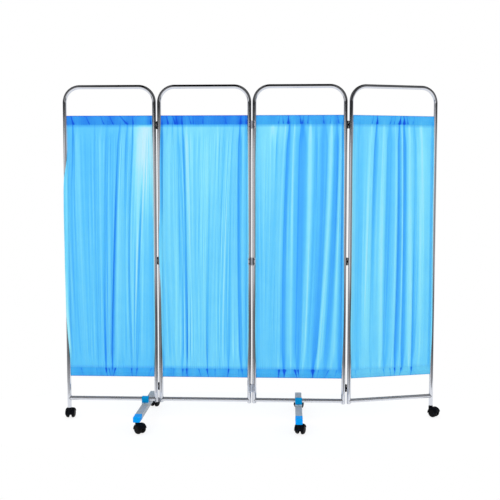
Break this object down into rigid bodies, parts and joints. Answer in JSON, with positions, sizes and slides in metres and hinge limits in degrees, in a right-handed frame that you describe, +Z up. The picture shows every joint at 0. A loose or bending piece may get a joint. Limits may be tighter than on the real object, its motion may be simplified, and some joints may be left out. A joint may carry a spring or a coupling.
{
  "type": "ward privacy screen",
  "caption": "Folding ward privacy screen: hinged chrome tube panels with gathered curtains, standing on two cross feet and twin-wheel casters.",
  "frame": {"origin": "middle of the footprint of the screen as it stands in the rest pose, on the floor", "axes": "+X along the three panels that stand in line, from left to right as seen from the front; +Z up; -Y towards the front"},
  "size_m": [2.0556, 0.6148, 1.7996],
  "materials": {
    "chrome_tube": "polished chrome plate",
    "rod_steel": "zinc plated",
    "curtain_cloth": "thin plain-woven cloth, light blue",
    "hinge_steel": "plated, dull",
    "foot_metal": "silver-grey satin",
    "blue_plastic": "semi-gloss moulded",
    "black_plastic": "moulded, satin",
    "wheel_plastic": "moulded tread, satin"
  },
  "bodies": {
    "panel_1": {"panel_1_frame": "chrome_tube", "panel_1_rail": "chrome_tube", "panel_1_upper_rod": "rod_steel", "panel_1_lower_rod": "rod_steel", "panel_1_curtain": "curtain_cloth", "hinge_1_2_top_left_leaf": "hinge_steel", "hinge_1_2_middle_left_leaf": "hinge_steel", "hinge_1_2_bottom_left_leaf": "hinge_steel", "foot_1_bar": "foot_metal", "foot_1_front_cap": "blue_plastic", "foot_1_base_plate": "foot_metal", "foot_1_saddle": "blue_plastic", "leg_1_socket": "black_plastic"},
    "panel_2": {"panel_2_frame": "chrome_tube", "panel_2_rail": "chrome_tube", "panel_2_upper_rod": "rod_steel", "panel_2_lower_rod": "rod_steel", "panel_2_curtain": "curtain_cloth", "hinge_1_2_top_right_leaf": "hinge_steel", "hinge_1_2_middle_right_leaf": "hinge_steel", "hinge_1_2_bottom_right_leaf": "hinge_steel", "hinge_2_3_top_left_leaf": "hinge_steel", "hinge_2_3_middle_left_leaf": "hinge_steel", "hinge_2_3_bottom_left_leaf": "hinge_steel"},
    "panel_3": {"panel_3_frame": "chrome_tube", "panel_3_rail": "chrome_tube", "panel_3_upper_rod": "rod_steel", "panel_3_lower_rod": "rod_steel", "panel_3_curtain": "curtain_cloth", "hinge_2_3_top_right_leaf": "hinge_steel", "hinge_2_3_middle_right_leaf": "hinge_steel", "hinge_2_3_bottom_right_leaf": "hinge_steel", "hinge_3_4_top_left_leaf": "hinge_steel", "hinge_3_4_middle_left_leaf": "hinge_steel", "hinge_3_4_bottom_left_leaf": "hinge_steel", "foot_2_bar": "foot_metal", "foot_2_front_cap": "blue_plastic", "foot_2_base_plate": "foot_metal", "foot_2_saddle": "blue_plastic"},
    "panel_4": {"panel_4_frame": "chrome_tube", "panel_4_rail": "chrome_tube", "panel_4_upper_rod": "rod_steel", "panel_4_lower_rod": "rod_steel", "panel_4_curtain": "curtain_cloth", "hinge_3_4_top_right_leaf": "hinge_steel", "hinge_3_4_middle_right_leaf": "hinge_steel", "hinge_3_4_bottom_right_leaf": "hinge_steel", "leg_4_socket": "black_plastic"},
    "leg_1_caster": {"leg_1_caster_body": "black_plastic"},
    "leg_1_wheels": {"leg_1_caster_wheels": "wheel_plastic"},
    "foot_1_front_caster": {"foot_1_front_caster_body": "black_plastic"},
    "foot_1_front_wheels": {"foot_1_front_caster_wheels": "wheel_plastic"},
    "foot_1_rear_caster": {"foot_1_rear_caster_body": "black_plastic"},
    "foot_1_rear_wheels": {"foot_1_rear_caster_wheels": "wheel_plastic"},
    "foot_2_front_caster": {"foot_2_front_caster_body": "black_plastic"},
    "foot_2_front_wheels": {"foot_2_front_caster_wheels": "wheel_plastic"},
    "foot_2_rear_caster": {"foot_2_rear_caster_body": "black_plastic"},
    "foot_2_rear_wheels": {"foot_2_rear_caster_wheels": "wheel_plastic"},
    "leg_4_caster": {"leg_4_caster_body": "black_plastic"},
    "leg_4_wheels": {"leg_4_caster_wheels": "wheel_plastic"}
  },
  "joints": [
    {"name": "panel_1_fold", "type": "hinge", "parent": "panel_2", "child": "panel_1", "pos_m": [-0.51184, 0.0119, 0.866], "axis": [0, 0, -1], "range_deg": [-15, 176]},
    {"name": "panel_3_fold", "type": "hinge", "parent": "panel_2", "child": "panel_3", "pos_m": [-0.00684, -0.0161, 0.866], "axis": [0, 0, -1], "range_deg": [-15, 176]},
    {"name": "panel_4_fold", "type": "hinge", "parent": "panel_3", "child": "panel_4", "pos_m": [0.49816, 0.0119, 0.866], "axis": [0, 0, 1], "range_deg": [-31, 160]},
    {"name": "leg_1_caster_swivel", "type": "hinge", "parent": "panel_1", "child": "leg_1_caster", "pos_m": [-1.00334, -0.0021, 0.058], "axis": [0, 0, 1], "continuous": true},
    {"name": "leg_1_caster_roll", "type": "hinge", "parent": "leg_1_caster", "child": "leg_1_wheels", "pos_m": [-1.00334, 0.0179, 0.025], "axis": [-1, 0, 0], "continuous": true},
    {"name": "foot_1_front_caster_swivel", "type": "hinge", "parent": "panel_1", "child": "foot_1_front_caster", "pos_m": [-0.58534, -0.2571, 0.058], "axis": [0, 0, 1], "continuous": true},
    {"name": "foot_1_front_caster_roll", "type": "hinge", "parent": "foot_1_front_caster", "child": "foot_1_front_wheels", "pos_m": [-0.57002, -0.26995, 0.025], "axis": [0.6428, 0.766, 0], "continuous": true},
    {"name": "foot_1_rear_caster_swivel", "type": "hinge", "parent": "panel_1", "child": "foot_1_rear_caster", "pos_m": [-0.58534, 0.2529, 0.058], "axis": [0, 0, 1], "continuous": true},
    {"name": "foot_1_rear_caster_roll", "type": "hinge", "parent": "foot_1_rear_caster", "child": "foot_1_rear_wheels", "pos_m": [-0.5785, 0.2717, 0.025], "axis": [-0.9397, 0.342, 0], "continuous": true},
    {"name": "foot_2_front_caster_swivel", "type": "hinge", "parent": "panel_3", "child": "foot_2_front_caster", "pos_m": [0.24566, -0.2571, 0.058], "axis": [0, 0, 1], "continuous": true},
    {"name": "foot_2_front_caster_roll", "type": "hinge", "parent": "foot_2_front_caster", "child": "foot_2_front_wheels", "pos_m": [0.2525, -0.2383, 0.025], "axis": [-0.9397, 0.342, 0], "continuous": true},
    {"name": "foot_2_rear_caster_swivel", "type": "hinge", "parent": "panel_3", "child": "foot_2_rear_caster", "pos_m": [0.24566, 0.2529, 0.058], "axis": [0, 0, 1], "continuous": true},
    {"name": "foot_2_rear_caster_roll", "type": "hinge", "parent": "foot_2_rear_caster", "child": "foot_2_rear_wheels", "pos_m": [0.25083, 0.27222, 0.025], "axis": [-0.9659, 0.2588, 0], "continuous": true},
    {"name": "leg_4_caster_swivel", "type": "hinge", "parent": "panel_4", "child": "leg_4_caster", "pos_m": [0.97448, 0.13392, 0.058], "axis": [0, 0, 1], "continuous": true},
    {"name": "leg_4_caster_roll", "type": "hinge", "parent": "leg_4_caster", "child": "leg_4_wheels", "pos_m": [0.9898, 0.12107, 0.025], "axis": [0.6428, 0.766, 0], "continuous": true}
  ]
}
